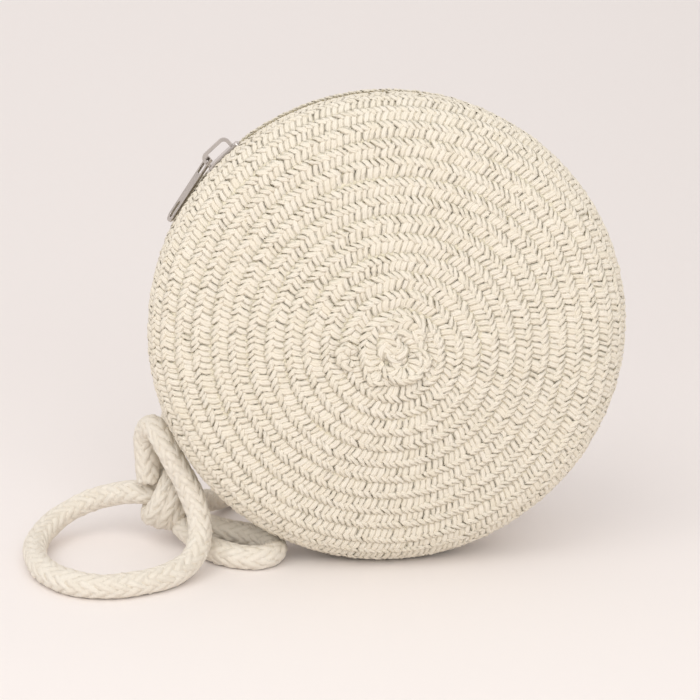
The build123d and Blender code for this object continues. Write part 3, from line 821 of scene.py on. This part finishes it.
def strand_faces(count):
    """Quads of all the strands of a plait, and which of them are round: a strand is closed flat
    underneath and at both ends."""
    skin = grid_quads(STRAND_ROWS, STRAND_COLUMNS, wrap_columns=True)[:, ::-1]
    first = np.arange(STRAND_COLUMNS)[None]
    last = (STRAND_ROWS - 1) * STRAND_COLUMNS + first
    one = np.concatenate([skin, first, last[:, ::-1]])
    round_face = np.arange(len(one)) % STRAND_COLUMNS != STRAND_COLUMNS - 1
    round_face[-2:] = False
    return repeat_quads(one, STRAND_ROWS * STRAND_COLUMNS, count), np.tile(round_face, count)


def put_plait(name, strands, points, part=slice(None)):
    """Write the mesh of a plait, or of part of its strands, and keep it off the floor, where the
    bag's weight presses it flat."""
    points = points[part].copy()
    pressed = PLAIT_CLEAR - PLAIT_SQUASH * np.tanh(PLAIT_CLEAR - points[..., 2])
    points[..., 2] = np.where(points[..., 2] < PLAIT_CLEAR, pressed, points[..., 2])
    faces, round_face = strand_faces(len(points))
    return put_mesh(
        name,
        points,
        faces,
        STRAW,
        uv=strands["uv"][part],
        values={"tint": strands["tint"][part], "crest": strands["crest"][part]},
        smooth=round_face,
    )


ROLL_END_S = FLANK_S + math.radians(ROLL_TURN) * ROLL_R
EDGE_S = ROLL_END_S - RIM_PLAIT_WIDTH / 2  # middle of the closed round, which rolls over the rim
SPIRAL_START = -0.12                       # turns in, under the knotted start
SPIRAL_END = (ROLL_END_S - PLAIT_WIDTH / 2 - SPIRAL_SHY) / PLAIT_PITCH - 0.5


def to_half(points, facing):
    """The back half is the front half turned half round the upright axis."""
    return points * np.array([-1.0, -1.0, 1.0]) if facing > 0 else points


def spiral_plait(facing, seed):
    """Half of the bag: one plait in a spiral from the middle out.

    The turn u of the spiral has its middle line at (u + 1/2) pitches from the crown and at
    SPIRAL_FROM + 360 u degrees, clockwise seen from outside. Stitches are STITCH apart along it,
    and three slow waves let the line drift from its place.
    """
    rng = np.random.default_rng(SEED + seed)
    turns = np.linspace(SPIRAL_START, SPIRAL_END, 4000)
    line_r, _ = wall_point((turns + 0.5) * PLAIT_PITCH, 0.0)
    step = 2 * math.pi * np.hypot(line_r, PLAIT_PITCH / (2 * math.pi)) * (turns[1] - turns[0])
    way = np.concatenate([[0], np.cumsum((step[1:] + step[:-1]) / 2)])
    count = int(way[-1] / STITCH)
    strands = plait_strands(count, PLAIT_WIDTH, rng)
    stitch_way = np.repeat(np.arange(count), 2)[:, None, None] * STITCH
    stitch_turn = np.interp(stitch_way, way, turns)
    stitch_r = np.interp(stitch_way, way, line_r)
    turn = stitch_turn + (strands["along"] - stitch_way) / (2 * math.pi * stitch_r)
    drift = 0.20 * np.sin(turn * 9.1 + seed) + 0.15 * np.sin(turn * 17.3) + 0.12 * np.sin(turn * 41)
    taper = np.clip((SPIRAL_END - turn) / TAPER_TURNS, 0.12, 1)
    s = (turn + 0.5) * PLAIT_PITCH + strands["across"] * taper + drift
    s = s - (1 - taper) * PLAIT_WIDTH / 2
    radius, reach = wall_point(np.maximum(s, 0.0), strands["height"] - STRAND_DROP)
    points = round_axis(radius, -reach, SPIRAL_FROM + 360 * turn)
    return strands, to_half(points, facing)


def rim_plait(name, facing, seed):
    """Closed round of plait that rolls over the rim, partly under the spiral's last turn."""
    rng = np.random.default_rng(SEED + seed)
    edge_r, _ = wall_point(EDGE_S, 0.0)
    count = int(round(2 * math.pi * edge_r / STITCH))
    strands = plait_strands(count, RIM_PLAIT_WIDTH, rng, tilt=RIM_TILT, edge_dive=RIM_DIVE)
    strands["crest"] = np.maximum(strands["crest"], RIM_CREST)
    angle = RIM_FROM + 360 * strands["along"] / (count * STITCH)
    rise = strands["height"] - STRAND_DROP - RIM_PLAIT_DROP
    radius, reach = wall_point(EDGE_S + strands["across"], rise)
    return put_plait(name, strands, to_half(round_axis(radius, -reach, angle), facing))


# The plait starts in a knotted tuft: short curls of it, each an arc in the face's plane.
# Middle across and up, radius, first and last angle, width, and how far the curl stands up.
START_CURLS = (
    (-15.0, 5.0, 13.0, -32.0, 24.0, 7.6, 0.5),
    (1.0, 2.5, 8.2, 215.0, 350.0, 7.4, 0.7),
    (1.5, -4.0, 5.2, -40.0, 175.0, 7.0, 1.3),
    (-6.0, -4.5, 5.0, 60.0, 215.0, 6.4, 0.8),
    (-17.0, -1.5, 2.9, 60.0, 330.0, 5.6, 1.3),
    (-1.4, 0.8, 1.9, -150.0, 160.0, 6.6, 0.3),
    (0.8, -2.6, 1.5, -60.0, 200.0, 6.0, 0.15),
    (7.6, -3.4, 2.4, -120.0, 120.0, 5.4, 0.9),
)
CURL_WOBBLE = 0.12       # how far a curl leaves its arc, over the arc's radius
CURL_TUCK = 0.9          # how deep its last stitches go down


def start_tuft(name, facing, seed):
    """The knotted start. A curl's stitches follow its arc, and its ends turn down into the face."""
    rng = np.random.default_rng(SEED + seed)
    parts, all_points = [], []
    for across, up, radius, first, last, width, lift in START_CURLS:
        length = math.radians(last - first) * radius
        count = max(int(length / STITCH), 2)
        strands = plait_strands(count, width, rng)
        share = np.clip(strands["along"] / (count * STITCH), 0, 1.1)
        angle = first + (last - first) * share
        swell = np.sin(math.pi * np.clip(share, 0, 1))
        wobble = radius * (1 + CURL_WOBBLE * np.sin(share * 9 + radius))
        out = wobble + strands["across"] * (0.75 + 0.25 * swell)
        x = across + out * cos_deg(angle)
        z = up - out * sin_deg(angle)
        stand = lift * swell ** 0.5 - CURL_TUCK * (share > 1)
        face_reach = HALF_DEPTH - np.hypot(x, z) ** 2 / (2 * CROWN_R)
        reach = face_reach + strands["height"] - STRAND_DROP + stand
        all_points.append(np.stack([x, -reach, AXIS_HEIGHT + z], axis=-1))
        parts.append(strands)
    joined = {key: np.concatenate([part[key] for part in parts]) for key in ("uv", "tint", "crest")}
    return put_plait(name, joined, to_half(np.concatenate(all_points), facing))


def turned_shell(name, profile, material, facing, columns=160, angles=None):
    """A closed profile of (radius, reach) points turned round the bag's axis: all the way round,
    or through the angles given."""
    whole = angles is None
    if whole:
        angles = np.linspace(0, 360, columns, endpoint=False)
    points = round_axis(profile[:, 0], profile[:, 1] * facing, angles[:, None])
    points[..., 2] = np.maximum(points[..., 2], SHELL_CLEAR)
    size = (len(angles), len(profile))
    faces = grid_quads(*size, wrap_rows=True, wrap_columns=True) if whole else closed_tubes(*size)
    return put_mesh(name, points, faces, material, weld=True)


def layer_outline(depth, thick, s_start, s_end, steps):
    """Closed profile of a layer under the wall's surface, from s_start to s_end."""
    s = np.linspace(s_start, s_end, steps)
    outer = np.stack(wall_point(s, -depth), axis=1)
    inner = np.stack(wall_point(s[::-1], -depth - thick), axis=1)
    return np.concatenate([outer, inner])


def flat_strip(outer, inner, half_width):
    """Closed profile of a strip across the mid-plane, between two radii."""
    return np.array([
        (outer, -half_width), (outer, half_width), (inner, half_width), (inner, -half_width),
    ])


def s_at_reach(reach, depth):
    """Way along the surface at which a layer comes down to a reach from the mid-plane."""
    s = np.linspace(FACE_S, FLANK_S, 2000)
    _, layer_reach = wall_point(s, -depth)
    return float(np.interp(-reach, -layer_reach, s))


for half, facing, seed in (("front", -1, 11), ("back", 1, 23)):
    strands, points = spiral_plait(facing, seed)
    middle = len(points) // 2
    plait = put_plait(f"{half}_plait", strands, points, slice(middle))
    outer_plait = put_plait(f"{half}_plait_outer", strands, points, slice(middle, None))
    bed_profile = layer_outline(PLAIT_BED, WALL - PLAIT_BED, 0.0, ROLL_END_S, 60)
    bed = turned_shell(f"{half}_plait_bed", bed_profile, BED_CLOTH, facing)
    rim = rim_plait(f"{half}_rim_plait", facing, seed + 1)
    tuft = start_tuft(f"{half}_plait_start", facing, seed + 2)
    belongs(plait, "straw_braid", f"{half}_shell")
    for piece in (outer_plait, bed, rim, tuft):
        belongs(piece, "straw_braid")

# ---- joining plait round the sides and bottom ----
BAND_START = ZIP_HALF_ANGLE + math.degrees(SEAM / BAND_R)
BAND_ARC = 360 - 2 * BAND_START
BAND_INSET = 0.6         # degrees from its end to its first stitch
band_count = int(math.radians(BAND_ARC) * BAND_R / STITCH) - 2
band_strands = plait_strands(band_count, 2 * RIM_HALF - 2 * SEAM, np.random.default_rng(SEED + 3))
band_angle = BAND_START + BAND_INSET + np.degrees(band_strands["along"] / BAND_R)
band_r = BAND_R - STRAND_DROP + band_strands["height"]
band_points = round_axis(band_r, band_strands["across"], band_angle)
band = put_plait("side_plait", band_strands, band_points)
belongs(band, "straw_braid", "side_band")

band_profile = flat_strip(BAND_R - PLAIT_BED, BAND_R - BAND_THICK, RIM_HALF - SEAM)
band_angles = np.linspace(BAND_START, BAND_START + BAND_ARC, 140)
band_bed = turned_shell("side_plait_bed", band_profile, BED_CLOTH, 1, angles=band_angles)
belongs(band_bed, "straw_braid")

# ---- lining, pocket and zip tapes ----
TAPE_DEPTH = WALL + SEAM
LINING_DEPTH = TAPE_DEPTH + CLOTH + SEAM
LINING_EDGE = RIM_HALF + LINING_SETBACK


def flank_radius(depth, reach):
    """Radius of a layer on the straight flank, at a reach from the mid-plane."""
    end_x = SHOULDER_X + (SHOULDER_R - depth) * sin_deg(FLANK_SLOPE)
    end_y = SHOULDER_Y + (SHOULDER_R - depth) * cos_deg(FLANK_SLOPE)
    return end_x + (end_y - reach) / math.tan(math.radians(FLANK_SLOPE))


def layer_area(depth, s_end):
    """Area of a layer of the dished half out to s_end, in square metres, summed from thin rings."""
    s = np.linspace(0, s_end, 400)
    ring = 2 * math.pi * wall_point(s, -depth)[0]
    return float(np.sum((ring[1:] + ring[:-1]) / 2 * np.diff(s))) * MM * MM


for half, facing in (("front", -1), ("back", 1)):
    edge_s = s_at_reach(LINING_EDGE + LINING_TURNED, LINING_DEPTH)
    profile = layer_outline(LINING_DEPTH, CLOTH, 0.0, edge_s, 40)
    lining = turned_shell(f"{half}_lining_cloth", profile, LINING_CLOTH, facing, columns=120)
    cut, area = 2 * edge_s, layer_area(LINING_DEPTH, edge_s)
    under = f"{half}_plait_bed"
    cloth(lining, "lining", f"{half}_lining", (cut, cut), "stretched", under, area=area)

strip_out = BAND_R - BAND_THICK - SEAM
strip_half = LINING_EDGE - SEAM
strip_profile = flat_strip(strip_out, strip_out - CLOTH, strip_half)
side_strip = turned_shell("side_lining_cloth", strip_profile, LINING_CLOTH, 1, angles=band_angles)
strip_size = (2 * strip_half, math.radians(BAND_ARC) * strip_out)
cloth(side_strip, "lining", "side_lining", strip_size, "stretched", "side_plait_bed")

tape_angles = np.linspace(-ZIP_HALF_ANGLE, ZIP_HALF_ANGLE, 90)
tape_out, tape_in = flank_radius(TAPE_DEPTH, RIM_HALF), flank_radius(TAPE_DEPTH + CLOTH, RIM_HALF)
for half, facing in (("front", -1), ("back", 1)):
    upper_s = s_at_reach(TAPE_REACH, TAPE_DEPTH)
    lower_s = s_at_reach(RIM_HALF + TAPE_BEND, TAPE_DEPTH)
    sewn = layer_outline(TAPE_DEPTH, CLOTH, upper_s, lower_s, TAPE_STEPS)
    free = np.array([(tape_out, GROOVE / 2), (tape_in, GROOVE / 2)])
    profile = np.concatenate([sewn[:TAPE_STEPS], free, sewn[TAPE_STEPS:]])
    tape = turned_shell(f"{half}_zip_tape", profile, TAPE_CLOTH, facing, angles=tape_angles)
    width = lower_s - upper_s + RIM_HALF - GROOVE / 2
    size = (width, 2 * math.radians(ZIP_HALF_ANGLE) * tape_out)
    cloth(tape, "zip_tape", f"zip_tape_{half}", size, "stretched", f"{half}_plait_bed")

POCKET_ROWS, POCKET_COLUMNS = 25, 33


def pocket_patch():
    """Patch that follows the back lining: a rounded rectangle of points (x, z), each laid on the
    layer under the lining by its distance from the bag's axis; the top edge has a folded hem."""
    across = np.linspace(-1, 1, POCKET_COLUMNS)[None, :]
    upward = np.linspace(-1, 1, POCKET_ROWS)[:, None]
    corner = 1 - 0.05 * (np.abs(across) ** 8) * (np.abs(upward) ** 8)
    x = across * POCKET_W / 2 * corner
    z = upward * POCKET_H / 2 * corner - POCKET_DROP
    distance = np.hypot(x, z)
    s = np.linspace(0, SHOULDER_S, 600)
    depth = LINING_DEPTH + CLOTH + SEAM
    sheets = []
    for layer_depth in (depth, depth + POCKET_THICK):
        radius, reach = wall_point(s, -layer_depth)
        layer_reach = np.interp(distance, radius, reach)
        hem = HEM_RISE * (upward > HEM_FROM) * (layer_depth > depth)
        sheets.append(np.stack([x, layer_reach - hem, AXIS_HEIGHT + z], axis=-1))
    quads = grid_quads(POCKET_ROWS, POCKET_COLUMNS)
    count = POCKET_ROWS * POCKET_COLUMNS
    border = np.concatenate([
        np.arange(POCKET_COLUMNS),
        np.arange(2, POCKET_ROWS) * POCKET_COLUMNS - 1,
        np.arange(count - 1, count - POCKET_COLUMNS - 1, -1),
        np.arange(POCKET_ROWS - 2, 0, -1) * POCKET_COLUMNS,
    ])
    after = np.roll(border, -1)
    edge = np.stack([border, after, after + count, border + count], axis=1)
    faces = np.concatenate([quads, quads[:, ::-1] + count, edge])
    return np.stack(sheets), faces


pocket_points, pocket_faces = pocket_patch()
pocket = put_mesh("pocket_cloth", pocket_points, pocket_faces, LINING_CLOTH, weld=True)
cloth(pocket, "lining", "inner_pocket", (POCKET_H, POCKET_W), "laid", "back_lining_cloth")

# ---- zip coil: a filament wound in flat loops along the edge of each tape ----
LOOP_POINTS, FILAMENT_SIDES = 12, 6
HEAD_OVER = 0.2          # how far the loops of one row reach over the middle, between the other's
LOOP_OUT = GROOVE / 2 + COIL_W - FILAMENT_R
coil_in = tape_out + SEAM / 2
stop_end = math.degrees((STOP_L + SEAM) / (coil_in + COIL_H))
COIL_HALF_ANGLE = ZIP_HALF_ANGLE - stop_end
COIL_END = 0.4           # degrees that the filament stops short of the row's ends


def coil_row(facing):
    """Filament of one row: it goes round in flat loops across the tape's edge as it moves along
    the rim, one loop to a pitch; the loop is wider than it is high. The rows lie half a pitch
    apart along the rim, so that their heads mesh."""
    loops = int(2 * math.radians(COIL_HALF_ANGLE) * coil_in / COIL_PITCH) - 1
    round_loop = np.linspace(0, 360 * loops, loops * LOOP_POINTS + 1)
    share = np.linspace(0, 1, len(round_loop))
    angle = (COIL_HALF_ANGLE - COIL_END) * (2 * share - 1)
    angle = angle + facing * math.degrees(COIL_PITCH / 4 / coil_in)
    loop_middle, loop_half = (LOOP_OUT - HEAD_OVER) / 2, (LOOP_OUT + HEAD_OVER) / 2
    reach = facing * (loop_middle + loop_half * cos_deg(round_loop))
    radius = coil_in + COIL_H / 2 + (COIL_H / 2 - FILAMENT_R) * sin_deg(round_loop)
    middle = round_axis(radius, reach, angle)
    heading = unit(np.gradient(middle, axis=0))
    rim_way = along_ring(angle)
    first = unit(rim_way - heading * np.sum(rim_way * heading, axis=1, keepdims=True))
    reach = np.full((len(middle), 1), FILAMENT_R)
    return rings_round(middle, first, np.cross(heading, first), reach, reach, FILAMENT_SIDES)


for half, facing in (("front", -1), ("back", 1)):
    rings = coil_row(facing)
    faces = closed_tubes(len(rings), FILAMENT_SIDES)
    coil = put_mesh(f"{half}_zip_coil", rings, faces, NYLON, weld=True)
    belongs(coil, "zip_coil", f"zip_coil_{half}")


# ---- metal: stops, slider and pull, with their edges broken ----
def broken_edges(name, cad_node, width, body):
    """Copy of a rigid CAD node, its triangles merged and its sharp edges rounded a little."""
    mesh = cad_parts[cad_node].data.copy()
    work = bmesh.new()
    work.from_mesh(mesh)
    bmesh.ops.remove_doubles(work, verts=work.verts, dist=1e-6)
    flat = math.radians(1.0)
    bmesh.ops.dissolve_limit(work, angle_limit=flat, verts=work.verts, edges=work.edges)
    work.to_mesh(mesh)
    work.free()
    mesh.materials.clear()
    mesh.materials.append(NICKEL)
    piece = new_object(name, mesh)
    soften = piece.modifiers.new("broken_edges", "BEVEL")
    soften.width = width * MM
    soften.segments = 3
    soften.limit_method = "ANGLE"
    soften.angle_limit = math.radians(40)
    soften.use_clamp_overlap = True
    mesh.polygons.foreach_set("use_smooth", np.ones(len(mesh.polygons), bool))
    smooth = piece.modifiers.new("weighted", "WEIGHTED_NORMAL")
    smooth.keep_sharp = True
    belongs(piece, "zip_metal", cad_node, body=body)


for name, cad_node, width, body in (
    ("top_stops", "zip_top_stops", 0.25, "bag"),
    ("bottom_stop", "zip_bottom_stop", 0.25, "bag"),
    ("zip_slider", "slider_body", 0.22, "slider"),
    ("zip_pull", "pull_tab", 0.22, "pull"),
):
    broken_edges(name, cad_node, width, body)

# ---- sleeves round the strap's ends ----
SLEEVE_SIDES, SLEEVE_ROWS = 40, 30
SLEEVE_WALL = 0.75
SLEEVE_RIBS = 20         # ribs round the sleeve
SLEEVE_RIB = 0.25        # how far they stand out
SLEEVE_ROUND = 0.82      # share of its length at which its closed end starts


def sleeve_tube(side):
    """Plaited sleeve: a short tube round the rope, ribbed along its length, closed over the top
    by a rounded end, and turned in below where the rope comes out."""
    start = round_axis(ANCHOR_R, ANCHOR_Y, side * ANCHOR_ANGLE)
    upward = -along_ring(side * ANCHOR_ANGLE) * side
    outward = np.array([sin_deg(side * ANCHOR_ANGLE), 0.0, cos_deg(side * ANCHOR_ANGLE)])
    run = np.linspace(0, 1, SLEEVE_ROWS)[:, None]
    turn = np.linspace(0, 360, SLEEVE_SIDES, endpoint=False)[None, :]
    ribs = SLEEVE_RIB * np.abs(sin_deg(turn * SLEEVE_RIBS / 2)) * (1 - run ** 6)
    closing = np.clip((run - SLEEVE_ROUND) / (1 - SLEEVE_ROUND), 0, 1)
    radius = (ROPE_D / 2 + SLEEVE_WALL + ribs) * np.maximum(np.sqrt(1 - closing ** 2), 0.02)
    line = start + upward * run * SLEEVE_L
    across = np.cross(upward, outward)[None]
    rings = rings_round(line, outward[None], across, radius, radius, SLEEVE_SIDES)
    inner = start + upward * 0.3 + (rings[0] - start) * 0.8
    return np.concatenate([inner[None], rings])


for side, label in ((-1, "left"), (1, "right")):
    rings = sleeve_tube(side)
    way = np.linspace(0, SLEEVE_L, SLEEVE_ROWS + 1)[:, None]
    turn = np.linspace(0, 10, SLEEVE_SIDES)[None, :]
    uv = np.stack(np.broadcast_arrays(way, turn), axis=-1)
    full = uv.shape[:2]
    sleeve = put_mesh(
        f"strap_sleeve_cloth_{label}",
        rings,
        closed_tubes(SLEEVE_ROWS + 1, SLEEVE_SIDES),
        COTTON,
        uv=uv,
        values={"tint": np.full(full, 0.5), "crest": np.full(full, 0.85)},
    )
    belongs(sleeve, "strap_rope", f"strap_sleeve_{label}")

# ---- floor, backdrop and light ----
FLOOR_FRONT, FLOOR_BACK, FLOOR_WIDE = -5000.0, 300.0, 5000.0
BACKDROP_BEND, BACKDROP_TOP = 1100.0, 2200.0


def paper_material(name, colour):
    """Matte paper with a barely visible tooth."""
    material, shader = new_material(name)
    tooth = noise(material, object_place(material), scale=300.0, detail=3.0)
    bump(material, shader, tooth, 0.05)
    fill(material, shader, {"Base Color": colour, "Roughness": 0.95, "Specular IOR Level": 0.1})
    return material


def backdrop_sheet():
    """Flat floor that bends up into an upright backdrop by a quarter round."""
    floor_y = np.linspace(FLOOR_FRONT, FLOOR_BACK, 30)
    bend = np.linspace(0, 90, 25)[1:]
    bend_y = FLOOR_BACK + BACKDROP_BEND * sin_deg(bend)
    bend_z = BACKDROP_BEND * (1 - cos_deg(bend))
    wall_z = np.linspace(BACKDROP_BEND, BACKDROP_TOP, 12)[1:]
    y = np.concatenate([floor_y, bend_y, np.full(len(wall_z), bend_y[-1])])
    z = np.concatenate([np.zeros(len(floor_y)), bend_z, wall_z])
    x = np.linspace(-FLOOR_WIDE, FLOOR_WIDE, 20)
    points = np.stack(np.broadcast_arrays(x[None, :], y[:, None], z[:, None]), axis=-1)
    return points, grid_quads(len(y), len(x))[:, ::-1]


paper = paper_material("backdrop_paper", rgba(0.94, 0.89, 0.87))
sheet_points, sheet_faces = backdrop_sheet()
put_mesh("backdrop", sheet_points, sheet_faces, paper)


def softbox(name, place, aim, width, watts, colour):
    """Square lamp of a width in millimetres that faces a point."""
    lamp = bpy.data.lights.new(name, "AREA")
    lamp.size = width * MM
    lamp.energy = watts
    lamp.color = colour
    holder = new_object(name, lamp)
    holder.location = Vector(place) * MM
    turn = (Vector(aim) - Vector(place)).to_track_quat("-Z", "Y")
    holder.rotation_euler = turn.to_euler()


softbox("key", (-650, -750, 1150), (0, 0, 80), width=1200, watts=6.6, colour=(1.0, 0.985, 0.965))
softbox("fill", (250, -1100, 850), (0, 0, 90), width=700, watts=4.0, colour=(0.995, 0.99, 0.985))

world = bpy.data.worlds.new("studio")
world.use_nodes = True
bpy.context.scene.world = world
sky = world.node_tree.nodes["Background"]
fill(world, sky, {"Color": rgba(1.0, 0.985, 0.975), "Strength": 0.69})
# one pale tone where a ray from the camera, a mirror or glass misses the backdrop
seen = node(world, "ShaderNodeBackground", {"Color": rgba(0.70, 0.65, 0.63)})
rays = node(world, "ShaderNodeLightPath").outputs
share = maths(world, "MAXIMUM", rays["Is Camera Ray"], rays["Is Glossy Ray"])
share = maths(world, "MAXIMUM", share, rays["Is Transmission Ray"])
chosen = node(world, "ShaderNodeMixShader", {0: share, 1: sky.outputs[0], 2: seen.outputs[0]})
fill(world, world.node_tree.nodes["World Output"], {"Surface": chosen.outputs[0]})
bpy.context.scene.view_settings.view_transform = "Standard"
